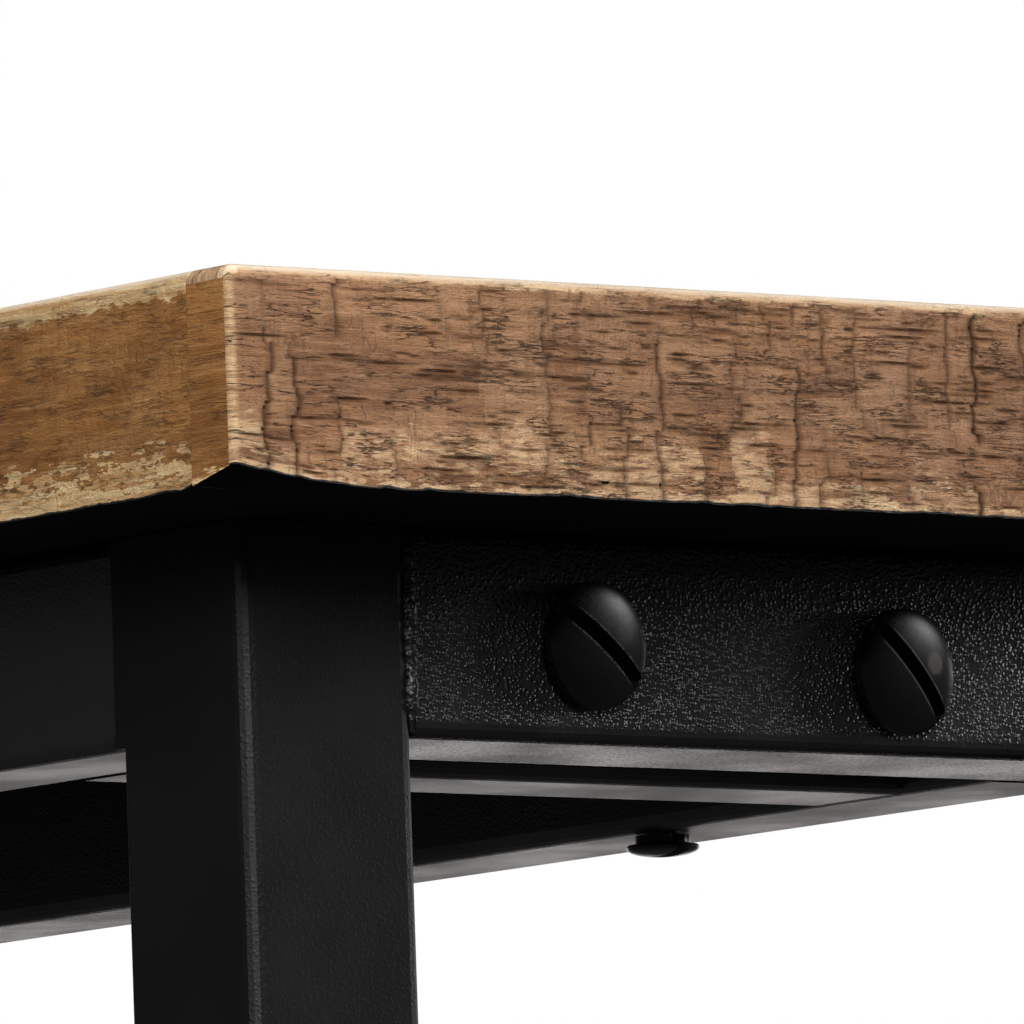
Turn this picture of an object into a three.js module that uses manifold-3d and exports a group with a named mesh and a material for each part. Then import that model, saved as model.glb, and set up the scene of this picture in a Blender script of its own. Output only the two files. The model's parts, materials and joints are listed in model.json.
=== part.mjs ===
// Entryway bench: a thick rough-sawn board top on a black square-tube frame.
// Two welded leg frames stand at the ends. A welded top frame of two long rails and two cross tubes
// lies between them, flush with the front legs and shallower than the leg frames, and is clamped to them
// by slotted dome-head bolts. Screws driven up through the long rails hold the boards.
// Millimetres, +X along the bench, +Z up, origin at the middle of the floor.
import * as THREE from 'three';
import { mergeVertices } from 'three/addons/utils/BufferGeometryUtils.js';
import Module from 'manifold-3d';

const wasm = await Module();
wasm.setup();

// Driving dimensions
const LENGTH = 1100;
const DEPTH = 350;
const HEIGHT = 450;
const TOP_THICK = 41;
const TOP_EDGE_ROUND = 2.5;
const END_BOARD = 13;
const PLANKS = ['front_outer', 'front_inner', 'middle', 'back_inner', 'back_outer'];
const END_OVERHANG = 49;
const SIDE_OVERHANG = 37;
const LEG = 40;
const RAIL_HIGH = 40;
const RAIL_DEEP = 30;
const TOP_FRAME_DEEP = 240;
const WALL = 1.5;
const TUBE_ROUND = 3;
const CROSS_SPACE = 25.5;
const STRETCHER = 30;
const STRETCHER_Z = 110;
const GAP = 0.3;
const ARC_STEPS = 2;

// Fasteners and feet. Each bolt is placed by its distance behind the frame's front face
// and its height above the rail's underside.
const BOLT_NEAR = { behind: 82, rise: 18.4 };
const BOLT_FAR = { behind: 157, rise: 15.8 };
const HEAD_R = 12.3;
const HEAD_HIGH = 4.8;
const HEAD_EDGE = 1.4;
const SLOT_WIDE = 3.2;
const SLOT_DEEP = 3.2;
const SHANK_BEVEL = 0.8;
const SHANK_PAST_NUT = 6;
const SHANK_R = 4;
const HOLE_R = 4.5;
const WASHER_R = 8;
const WASHER_THICK = 1.6;
const NUT_FLATS = 13;
const NUT_THICK = 6.5;
const SCREW_HEAD_R = 7.4;
const SCREW_HEAD_HIGH = 2.4;
const SCREW_NECK_R = 5.5;
const SCREW_NECK_HIGH = 1.9;
const SCREW_SHANK_R = 2.8;
const SCREW_IN_WOOD = 26;
const SCREW_INSET = 153;
const SCREW_OFF_CENTRE = 7;
const FOOT_THICK = 4;
const FOOT_PLUG = 16;

// Derived places
const FRAME_X = LENGTH / 2 - END_OVERHANG;
const FRAME_Y = DEPTH / 2 - SIDE_OVERHANG;
const WOOD_Z = HEIGHT - TOP_THICK;
const FRAME_TOP = WOOD_Z - GAP;
const RAIL_Z = FRAME_TOP - RAIL_HIGH / 2;
const RAIL_BOTTOM = FRAME_TOP - RAIL_HIGH;
const FRONT_RAIL_Y = -FRAME_Y + RAIL_DEEP / 2;
const BACK_RAIL_Y = -FRAME_Y + TOP_FRAME_DEEP - RAIL_DEEP / 2;
const CROSS_Y = -FRAME_Y + TOP_FRAME_DEEP / 2;
const LEG_X = FRAME_X - LEG / 2;
const LEG_Y = FRAME_Y - LEG / 2;
const CROSS_X = FRAME_X - LEG - CROSS_SPACE - RAIL_DEEP / 2;
const CROSS_INNER = CROSS_X - RAIL_DEEP / 2;
const STRETCHER_X = FRAME_X - LEG / 2;
const STRETCHER_FACE = STRETCHER_X + STRETCHER / 2;
const STRETCHER_INNER = STRETCHER_X - STRETCHER / 2;

const finishes = {
  plank: { color: 0x9a6f45, roughness: 0.75, metalness: 0 },
  endBoard: { color: 0xa07a55, roughness: 0.8, metalness: 0 },
  frame: { color: 0x141414, roughness: 0.5, metalness: 0.1 },
  bolt: { color: 0x101010, roughness: 0.35, metalness: 0.4 },
  steel: { color: 0x8f9296, roughness: 0.4, metalness: 0.9 },
  plastic: { color: 0x161616, roughness: 0.6, metalness: 0 },
};

const group = new THREE.Group();

function place(name, geometry, finish, x, y, z) {
  const mesh = new THREE.Mesh(geometry, new THREE.MeshStandardMaterial(finishes[finish]));
  mesh.name = name;
  mesh.position.set(x, y, z);
  group.add(mesh);
  return mesh;
}

// Boolean helpers
function solid(geometry) {
  const bare = geometry.clone();
  bare.deleteAttribute('normal');
  bare.deleteAttribute('uv');
  const merged = mergeVertices(bare, 1e-4);
  return new wasm.Manifold(new wasm.Mesh({
    numProp: 3,
    vertProperties: new Float32Array(merged.attributes.position.array),
    triVerts: new Uint32Array(merged.index.array),
  }));
}

function geometryOf(manifold) {
  const mesh = manifold.getMesh();
  const geometry = new THREE.BufferGeometry();
  geometry.setAttribute('position', new THREE.BufferAttribute(mesh.vertProperties, 3));
  geometry.setIndex(new THREE.BufferAttribute(mesh.triVerts, 1));
  return geometry;
}

function cut(geometry, cutters) {
  let result = solid(geometry);
  for (const cutter of cutters) result = result.subtract(solid(cutter));
  return geometryOf(result);
}

// A rod along one axis, centred on the given point
function rod(axis, radius, length, x, y, z, sides = 16) {
  const geometry = new THREE.CylinderGeometry(radius, radius, length, sides);
  if (axis === 'x') geometry.rotateZ(Math.PI / 2);
  if (axis === 'z') geometry.rotateX(Math.PI / 2);
  return geometry.translate(x, y, z);
}

// Tube stock: a rounded rectangular section, hollow and open at both ends
function roundedRect(path, wide, high, radius) {
  const x = wide / 2;
  const y = high / 2;
  path.moveTo(-x + radius, -y);
  path.lineTo(x - radius, -y);
  path.absarc(x - radius, -y + radius, radius, -Math.PI / 2, 0, false);
  path.lineTo(x, y - radius);
  path.absarc(x - radius, y - radius, radius, 0, Math.PI / 2, false);
  path.lineTo(-x + radius, y);
  path.absarc(-x + radius, y - radius, radius, Math.PI / 2, Math.PI, false);
  path.lineTo(-x, -y + radius);
  path.absarc(-x + radius, -y + radius, radius, Math.PI, Math.PI * 1.5, false);
  return path;
}

function tube(axis, wide, high, length) {
  const section = roundedRect(new THREE.Shape(), wide, high, TUBE_ROUND);
  const bore = roundedRect(new THREE.Path(), wide - 2 * WALL, high - 2 * WALL, TUBE_ROUND - WALL);
  section.holes.push(bore);
  const options = { depth: length, bevelEnabled: false, curveSegments: ARC_STEPS };
  const geometry = new THREE.ExtrudeGeometry(section, options).translate(0, 0, -length / 2);
  if (axis === 'x') geometry.rotateX(Math.PI / 2).rotateZ(Math.PI / 2);
  if (axis === 'y') geometry.rotateX(Math.PI / 2);
  return geometry;
}

// The whole top as one blank with eased upper edges; each board is a slice of it
function topBlank() {
  const profile = (wide) => {
    const shape = new THREE.Shape();
    const x = wide / 2;
    const r = TOP_EDGE_ROUND;
    shape.moveTo(-x, 0);
    shape.lineTo(x, 0);
    shape.lineTo(x, TOP_THICK - r);
    shape.absarc(x - r, TOP_THICK - r, r, 0, Math.PI / 2, false);
    shape.lineTo(-x + r, TOP_THICK);
    shape.absarc(-x + r, TOP_THICK - r, r, Math.PI / 2, Math.PI, false);
    return shape;
  };
  const options = (depth) => ({ depth, bevelEnabled: false, curveSegments: ARC_STEPS });
  const along = new THREE.ExtrudeGeometry(profile(DEPTH), options(LENGTH + 20));
  along.translate(0, 0, -LENGTH / 2 - 10).rotateX(Math.PI / 2).rotateZ(Math.PI / 2);
  const across = new THREE.ExtrudeGeometry(profile(LENGTH), options(DEPTH + 20));
  across.translate(0, 0, -DEPTH / 2 - 10).rotateX(Math.PI / 2);
  return solid(along).intersect(solid(across));
}

function addTop() {
  const blank = topBlank();
  const plankWide = DEPTH / PLANKS.length;
  const inner = LENGTH / 2 - END_BOARD;
  const screws = screwPlaces();
  PLANKS.forEach((name, i) => {
    const low = -DEPTH / 2 + i * plankWide;
    const wide = plankWide - (i === 0 || i === PLANKS.length - 1 ? GAP / 2 : GAP);
    const start = i === 0 ? low : low + GAP / 2;
    const slice = new THREE.BoxGeometry(2 * (inner - GAP / 2), wide, TOP_THICK * 2);
    slice.translate(0, start + wide / 2, TOP_THICK / 2);
    let board = blank.intersect(solid(slice));
    for (const [x, y] of screws) {
      if (y < start || y > start + wide) continue;
      const depth = SCREW_IN_WOOD + 2;
      board = board.subtract(solid(rod('z', SCREW_SHANK_R + GAP, 2 * depth, x, y, 0)));
    }
    place(`plank_${name}`, geometryOf(board), 'plank', 0, 0, WOOD_Z);
  });
  for (const side of [-1, 1]) {
    const thick = END_BOARD - GAP / 2;
    const slice = new THREE.BoxGeometry(thick, DEPTH + 10, TOP_THICK * 2);
    slice.translate(side * (LENGTH / 2 - thick / 2), 0, TOP_THICK / 2);
    const board = geometryOf(blank.intersect(solid(slice)));
    place(`end_board_${side < 0 ? 'left' : 'right'}`, board, 'endBoard', 0, 0, WOOD_Z);
  }
}

// The board screws as [x, y], a little inboard of each long rail's middle line
function screwPlaces() {
  const places = [];
  for (const y of [FRONT_RAIL_Y + SCREW_OFF_CENTRE, BACK_RAIL_Y - SCREW_OFF_CENTRE]) {
    for (const x of [-(FRAME_X - SCREW_INSET), 0, FRAME_X - SCREW_INSET]) places.push([x, y]);
  }
  return places;
}

// The two bolts of each end as [label, y, z]
const boltPlaces = [
  ['front', -FRAME_Y + BOLT_NEAR.behind, RAIL_BOTTOM + BOLT_NEAR.rise],
  ['back', -FRAME_Y + BOLT_FAR.behind, RAIL_BOTTOM + BOLT_FAR.rise],
];

// Bolt holes through a tube whose middle is at y = middle
function boltHoles(middle) {
  return boltPlaces.map(([, y, z]) => rod('x', HOLE_R, LEG * 2, 0, y - middle, z - RAIL_Z));
}

// Welded leg frame at one end: two legs, an end rail and a lower stretcher
function addLegFrame(side) {
  const end = side < 0 ? 'left' : 'right';
  const legHigh = FRAME_TOP - FOOT_THICK;
  for (const [label, ySide] of [['front', -1], ['back', 1]]) {
    const leg = tube('z', LEG, LEG, legHigh);
    place(`leg_${label}_${end}`, leg, 'frame', side * LEG_X, ySide * LEG_Y, FOOT_THICK + legHigh / 2);
    place(`foot_${label}_${end}`, footPlug(), 'plastic', side * LEG_X, ySide * LEG_Y, 0);
  }
  const clear = 2 * (FRAME_Y - LEG - GAP);
  const rail = cut(tube('y', LEG, RAIL_HIGH, clear), boltHoles(0));
  place(`end_rail_${end}`, rail, 'frame', side * LEG_X, 0, RAIL_Z);
  const stretcher = cut(tube('y', STRETCHER, STRETCHER, clear), [rod('x', HOLE_R, STRETCHER * 2, 0, 0, 0)]);
  place(`end_stretcher_${end}`, stretcher, 'frame', side * STRETCHER_X, 0, STRETCHER_Z);
}

// Solid square bar with rounded edges, standing on z = 0
function squareBar(wide, radius, high) {
  const section = roundedRect(new THREE.Shape(), wide, wide, radius);
  return new THREE.ExtrudeGeometry(section, { depth: high, bevelEnabled: false, curveSegments: ARC_STEPS });
}

// Square push-in foot: a flange under the tube and a plug inside it
function footPlug() {
  const flange = squareBar(LEG, TUBE_ROUND, FOOT_THICK - GAP);
  const plugWide = LEG - 2 * WALL - 2 * GAP;
  const plug = squareBar(plugWide, TUBE_ROUND - WALL, FOOT_THICK + FOOT_PLUG - 1).translate(0, 0, 1);
  return geometryOf(solid(flange).add(solid(plug)));
}

// Welded top frame: two long rails drilled for the board screws, and two cross tubes behind the end rails
function addTopFrame() {
  const railLength = 2 * (FRAME_X - LEG - GAP);
  for (const [label, railY] of [['front', FRONT_RAIL_Y], ['back', BACK_RAIL_Y]]) {
    const holes = [];
    for (const [x, y] of screwPlaces()) {
      if (Math.abs(y - railY) > RAIL_DEEP) continue;
      holes.push(rod('z', SCREW_SHANK_R + GAP, RAIL_HIGH * 2, x, y - railY, 0));
    }
    const rail = cut(tube('x', RAIL_DEEP, RAIL_HIGH, railLength), holes);
    place(`long_rail_${label}`, rail, 'frame', 0, railY, RAIL_Z);
  }
  const clear = TOP_FRAME_DEEP - 2 * (RAIL_DEEP + GAP);
  for (const side of [-1, 1]) {
    const cross = cut(tube('y', RAIL_DEEP, RAIL_HIGH, clear), boltHoles(CROSS_Y));
    place(`cross_tube_${side < 0 ? 'left' : 'right'}`, cross, 'frame', side * CROSS_X, CROSS_Y, RAIL_Z);
  }
}

// Slotted dome-head bolt along +X, its head seat at x = 0 and its shank running to -X
function domeBolt(shankLength, slotAngle) {
  const profile = [new THREE.Vector2(0, -shankLength), new THREE.Vector2(SHANK_R - SHANK_BEVEL, -shankLength)];
  profile.push(new THREE.Vector2(SHANK_R, -shankLength + SHANK_BEVEL), new THREE.Vector2(SHANK_R, 0));
  profile.push(new THREE.Vector2(HEAD_R, 0), new THREE.Vector2(HEAD_R, HEAD_EDGE));
  const steps = 5;
  for (let i = 1; i < steps; i += 1) {
    const angle = (i / steps) * Math.PI / 2;
    const rise = HEAD_EDGE + (HEAD_HIGH - HEAD_EDGE) * Math.sin(angle);
    profile.push(new THREE.Vector2(HEAD_R * Math.cos(angle), rise));
  }
  profile.push(new THREE.Vector2(0, HEAD_HIGH));
  const bolt = new THREE.LatheGeometry(profile, 24);
  bolt.rotateZ(-Math.PI / 2);
  const slot = new THREE.BoxGeometry(SLOT_DEEP * 2, HEAD_R * 3, SLOT_WIDE);
  slot.rotateX(slotAngle).translate(HEAD_HIGH, 0, 0);
  return cut(bolt, [slot]);
}

function washer() {
  const ring = rod('x', WASHER_R, WASHER_THICK, 0, 0, 0, 20);
  return cut(ring, [rod('x', SHANK_R + GAP, WASHER_THICK * 3, 0, 0, 0)]);
}

function hexNut() {
  const hex = rod('x', NUT_FLATS / Math.sqrt(3), NUT_THICK, 0, 0, 0, 6);
  return cut(hex, [rod('x', SHANK_R + GAP, NUT_THICK * 3, 0, 0, 0)]);
}

// Frame bolts: head on the end rail's outer face, nut and washer on the cross tube's inner face
function addFrameBolts() {
  const slotAngles = { left_front: 0.4, left_back: -0.9, right_front: -0.65, right_back: -0.83 };
  const clamp = FRAME_X - CROSS_INNER;
  const shank = clamp + WASHER_THICK + NUT_THICK + SHANK_PAST_NUT;
  for (const [end, side] of [['left', -1], ['right', 1]]) {
    for (const [label, y, z] of boltPlaces) {
      const name = `${end}_${label}`;
      const bolt = domeBolt(shank, slotAngles[name]);
      if (side < 0) bolt.rotateZ(Math.PI);
      place(`frame_bolt_${name}`, bolt, 'bolt', side * (FRAME_X + GAP), y, z);
      const washerX = CROSS_INNER - GAP - WASHER_THICK / 2;
      place(`frame_washer_${name}`, washer(), 'steel', side * washerX, y, z);
      const nutX = CROSS_INNER - 2 * GAP - WASHER_THICK - NUT_THICK / 2;
      place(`frame_nut_${name}`, hexNut(), 'steel', side * nutX, y, z);
    }
  }
}

// Board screws: a necked mushroom head under the long rail, the shank passing up into the boards
function addBoardScrews() {
  const neckTop = -GAP;
  const headTop = neckTop - SCREW_NECK_HIGH;
  const tip = RAIL_HIGH + GAP + SCREW_IN_WOOD;
  const profile = [[0, headTop - SCREW_HEAD_HIGH]];
  const steps = 4;
  for (let i = steps - 1; i > 0; i -= 1) {
    const angle = (i / steps) * Math.PI / 2;
    profile.push([SCREW_HEAD_R * Math.cos(angle), headTop - 0.6 - (SCREW_HEAD_HIGH - 0.6) * Math.sin(angle)]);
  }
  profile.push([SCREW_HEAD_R, headTop - 0.6], [SCREW_HEAD_R, headTop]);
  profile.push([SCREW_NECK_R, headTop], [SCREW_NECK_R, neckTop], [SCREW_SHANK_R, neckTop]);
  profile.push([SCREW_SHANK_R, tip - 6], [0, tip]);
  const points = profile.map(([r, z]) => new THREE.Vector2(r, z));
  const labels = ['left', 'middle', 'right'];
  screwPlaces().forEach(([x, y], i) => {
    const screw = new THREE.LatheGeometry(points, 16).rotateX(Math.PI / 2);
    place(`board_screw_${y < CROSS_Y ? 'front' : 'back'}_${labels[i % 3]}`, screw, 'bolt', x, y, RAIL_BOTTOM);
  });
}

// Long lower stretcher between the leg frames, with a threaded plug and a dome-head bolt at each end
function addLongStretcher() {
  const length = 2 * (STRETCHER_INNER - GAP);
  place('long_stretcher', tube('x', STRETCHER, STRETCHER, length), 'frame', 0, 0, STRETCHER_Z);
  const plugLong = 25;
  const plugWide = STRETCHER - 2 * WALL - 2 * GAP;
  for (const [end, side] of [['left', -1], ['right', 1]]) {
    const block = squareBar(plugWide, TUBE_ROUND - WALL, plugLong);
    block.translate(0, 0, -plugLong / 2).rotateY(Math.PI / 2);
    const plug = cut(block, [rod('x', SHANK_R + GAP, plugLong * 2, 0, 0, 0)]);
    const plugX = STRETCHER_INNER - GAP - plugLong / 2;
    place(`stretcher_plug_${end}`, plug, 'plastic', side * plugX, 0, STRETCHER_Z);
    const bolt = domeBolt(STRETCHER + plugLong - 5, 0.6 * side);
    if (side < 0) bolt.rotateZ(Math.PI);
    place(`stretcher_bolt_${end}`, bolt, 'bolt', side * (STRETCHER_FACE + GAP), 0, STRETCHER_Z);
  }
}

addTop();
addLegFrame(-1);
addLegFrame(1);
addTopFrame();
addFrameBolts();
addBoardScrews();
addLongStretcher();

export default group;
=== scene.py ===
"""Looks of the entryway bench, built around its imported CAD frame.

Rough-sawn boards, a black powder-coated tube frame, weld beads, slotted dome bolts and necked screws.
Lengths in the helpers are millimetres; MM turns them into metres where a mesh is made.
"""

import json
import math

import bmesh
import bpy
import numpy as np
from mathutils import Matrix, Vector

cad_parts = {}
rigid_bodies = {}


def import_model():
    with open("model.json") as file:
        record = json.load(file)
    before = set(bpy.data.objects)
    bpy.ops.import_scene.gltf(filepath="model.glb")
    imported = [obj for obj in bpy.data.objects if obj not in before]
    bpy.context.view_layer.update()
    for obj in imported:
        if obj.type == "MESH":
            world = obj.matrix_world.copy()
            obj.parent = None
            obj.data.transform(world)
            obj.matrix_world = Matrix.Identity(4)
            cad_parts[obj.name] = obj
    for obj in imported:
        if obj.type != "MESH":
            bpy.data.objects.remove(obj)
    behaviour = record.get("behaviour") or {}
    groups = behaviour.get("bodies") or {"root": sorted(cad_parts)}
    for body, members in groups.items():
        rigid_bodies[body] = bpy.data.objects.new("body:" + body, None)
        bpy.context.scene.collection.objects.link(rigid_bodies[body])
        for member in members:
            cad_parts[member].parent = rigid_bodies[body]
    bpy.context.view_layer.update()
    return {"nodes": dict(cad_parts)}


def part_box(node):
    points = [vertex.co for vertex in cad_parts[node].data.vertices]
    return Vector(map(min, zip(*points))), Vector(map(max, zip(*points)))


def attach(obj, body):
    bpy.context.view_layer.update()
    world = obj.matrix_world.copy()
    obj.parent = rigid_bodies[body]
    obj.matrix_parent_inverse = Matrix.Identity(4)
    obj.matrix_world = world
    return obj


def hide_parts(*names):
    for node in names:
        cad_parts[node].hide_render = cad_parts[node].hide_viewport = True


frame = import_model()

MM = 0.001
BODY = "root"

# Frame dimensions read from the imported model, in millimetres
TOP_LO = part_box("plank_front_outer")[0] / MM
TOP_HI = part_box("plank_back_outer")[1] / MM
END_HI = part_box("end_board_right")[1] / MM
WOOD_BOTTOM = TOP_LO.z
WOOD_TOP = END_HI.z
HALF_LENGTH = END_HI.x
HALF_DEPTH = TOP_HI.y
LEG_LO, LEG_HI = (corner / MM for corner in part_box("leg_front_right"))
RAIL_BOTTOM = (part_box("end_rail_right")[0] / MM).z

# Wear of the boards: the lower front right corner is knocked up, the upper arrises are rounded
CORNER_RISE = 3.7
CORNER_REACH_END = 40.0
CORNER_REACH_SIDE = 16.0
EDGE_ROUND = 2.5
END_ROUND = 1.6

# Gap between an end board and the ends of the planks
BOARD_GAP = 0.15

# How far the frame bolts' heads stand off the rail, and how far the right end's heads lean
HEAD_PROUD = 1.0
HEAD_TILT = math.radians(5)

# Fasteners, sized as in the frame; the slot angles are turns about the head's own axis
HEAD_R = 12.3
HEAD_HIGH = 4.8
HEAD_EDGE = 1.4
SLOT_WIDE = 3.2
SLOT_DEEP = 3.2
SLOT_ANGLES = {"right_front": -0.65, "right_back": -0.83, "left_front": 0.4, "left_back": -0.9}
SHANK_R = 4.0
SHANK_BEVEL = 0.8
SCREW_HEAD_R = 7.4
SCREW_DOME_HIGH = 1.8
SCREW_HEAD_HIGH = 2.4
SCREW_NECK_R = 5.5
SCREW_NECK_TOP = 4.3
SCREW_SHANK_R = 2.8
SCREW_TIP = 6.0

# Weld beads: the radius of each kind, the spacing of their rings and the ends of the upright ones
RAIL_BEAD = 1.65
INNER_BEAD = 1.6
UNDER_BEAD = 1.3
BACK_RAIL_BEAD = 1.5
CROSS_BEAD = 1.4
BEAD_STEP = 0.45
BEAD_LOW = RAIL_BOTTOM + 0.8
BEAD_HIGH = LEG_HI.z - 0.5


# ---------------------------------------------------------------- camera and stage
def add_camera():
    """A long lens a little below the seat, looking up at the front right corner."""
    azimuth = math.radians(52.415)
    elevation = math.radians(-5.998)
    roll = math.radians(-1.967)
    distance = 3370.8
    aim_right, aim_up = 50.02, 41.03
    back = Vector((
        math.sin(azimuth) * math.cos(elevation),
        -math.cos(azimuth) * math.cos(elevation),
        math.sin(elevation),
    ))
    right = (-back).cross(Vector((0, 0, 1))).normalized()
    up = right.cross(-back)
    rolled_right = math.cos(roll) * right + math.sin(roll) * up
    rolled_up = math.cos(roll) * up - math.sin(roll) * right
    corner = Vector((LEG_HI.x, LEG_LO.y, RAIL_BOTTOM))
    target = corner + aim_right * rolled_right + aim_up * rolled_up
    data = bpy.data.cameras.new("camera")
    data.sensor_width = 36.0
    data.lens = 632.8
    data.clip_start = 0.1
    data.clip_end = 200.0
    camera = bpy.data.objects.new("camera", data)
    turn = Matrix((rolled_right, rolled_up, back)).transposed().to_4x4()
    camera.matrix_world = Matrix.Translation((target + distance * back) * MM) @ turn
    bpy.context.scene.collection.objects.link(camera)
    bpy.context.scene.camera = camera


def add_area_light(name, place, aim, wide, high, power, tint=(1, 1, 1)):
    """A soft rectangular lamp at place (metres), facing aim."""
    data = bpy.data.lights.new(name, "AREA")
    data.shape = "RECTANGLE"
    data.size = wide
    data.size_y = high
    data.energy = power
    data.color = tint
    lamp = bpy.data.objects.new(name, data)
    lamp.location = place
    lamp.rotation_euler = (Vector(aim) - Vector(place)).to_track_quat("-Z", "Y").to_euler()
    bpy.context.scene.collection.objects.link(lamp)


def add_world():
    """White to the camera; to everything else a dim room, brighter around the horizon."""
    world = bpy.data.worlds.new("studio")
    bpy.context.scene.world = world
    world.use_nodes = True
    tree = world.node_tree
    tree.nodes.clear()
    out = tree.nodes.new("ShaderNodeOutputWorld")
    mix = tree.nodes.new("ShaderNodeMixShader")
    path = tree.nodes.new("ShaderNodeLightPath")
    way = tree.nodes.new("ShaderNodeTexCoord")
    split = tree.nodes.new("ShaderNodeSeparateXYZ")
    tree.links.new(way.outputs["Generated"], split.inputs[0])
    height = tree.nodes.new("ShaderNodeMapRange")
    height.inputs["From Min"].default_value = -1.0
    tree.links.new(split.outputs[2], height.inputs["Value"])
    band = tree.nodes.new("ShaderNodeValToRGB")
    tree.links.new(height.outputs[0], band.inputs["Fac"])
    stops = ((0.0, 0.07), (0.42, 0.06), (0.50, 0.11), (0.56, 0.07), (0.68, 0.04), (1.0, 0.10))
    band.color_ramp.elements.remove(band.color_ramp.elements[1])
    for i, (place, grey) in enumerate(stops):
        stop = band.color_ramp.elements[0] if i == 0 else band.color_ramp.elements.new(place)
        stop.position = place
        stop.color = (grey, grey, grey * 1.02, 1)
    room = tree.nodes.new("ShaderNodeBackground")
    tree.links.new(band.outputs[0], room.inputs["Color"])
    seen = tree.nodes.new("ShaderNodeBackground")
    seen.inputs["Color"].default_value = (1, 1, 1, 1)
    tree.links.new(path.outputs["Is Camera Ray"], mix.inputs["Fac"])
    tree.links.new(room.outputs[0], mix.inputs[1])
    tree.links.new(seen.outputs[0], mix.inputs[2])
    tree.links.new(mix.outputs[0], out.inputs["Surface"])


def add_floor():
    """A pale round studio floor, which throws no light back on the bench."""
    radius = 2.6
    mesh = bpy.data.meshes.new("floor")
    shape = bmesh.new()
    bmesh.ops.create_circle(shape, cap_ends=True, radius=radius, segments=96)
    shape.to_mesh(mesh)
    shape.free()
    floor = bpy.data.objects.new("floor", mesh)
    bpy.context.scene.collection.objects.link(floor)
    mesh.materials.append(floor_material())
    floor.visible_diffuse = False
    floor.visible_glossy = False


def add_stage():
    add_world()
    add_floor()
    middle = (0.45, -0.05, 0.42)
    add_area_light("key", (2.6, -1.0, 1.45), middle, 1.0, 1.0, 72, (1.0, 0.98, 0.95))
    add_area_light("side", (0.95, 2.4, 0.66), middle, 0.8, 0.35, 18)
    add_area_light("front", (1.7, -2.6, 1.4), middle, 1.0, 1.0, 36)
    add_area_light("above", (0.1, 0.2, 2.6), middle, 2.0, 2.0, 24)
    add_area_light("backdrop", (-1.9, 1.9, 0.25), (0.5, 0.0, 0.36), 3.4, 0.9, 22, (1.0, 0.95, 0.92))
    add_area_light("glint", (1.19, 1.67, 1.17), (0.51, -0.05, 0.39), 0.38, 0.38, 6)
    scene = bpy.context.scene
    scene.view_settings.view_transform = "Standard"
    scene.view_settings.look = "None"
    scene.view_settings.exposure = 0.0
    scene.view_settings.gamma = 1.0


def share_light():
    """Three lamps pass the frame bolts' heads by, and the glint lamp lights those heads alone."""
    heads = [piece for piece in bpy.context.scene.objects if piece.name.startswith("head_frame_bolt")]
    spared = bpy.data.collections.new("spared_by_lamps")
    for piece in heads:
        spared.objects.link(piece)
    for entry in spared.collection_objects:
        entry.light_linking.link_state = "EXCLUDE"
    for name in ("key", "front", "side"):
        bpy.data.objects[name].light_linking.receiver_collection = spared
    lit = bpy.data.collections.new("lit_by_glint")
    for piece in heads:
        lit.objects.link(piece)
    bpy.data.objects["glint"].light_linking.receiver_collection = lit
    bpy.data.objects["glint"].light_linking.blocker_collection = lit


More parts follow.
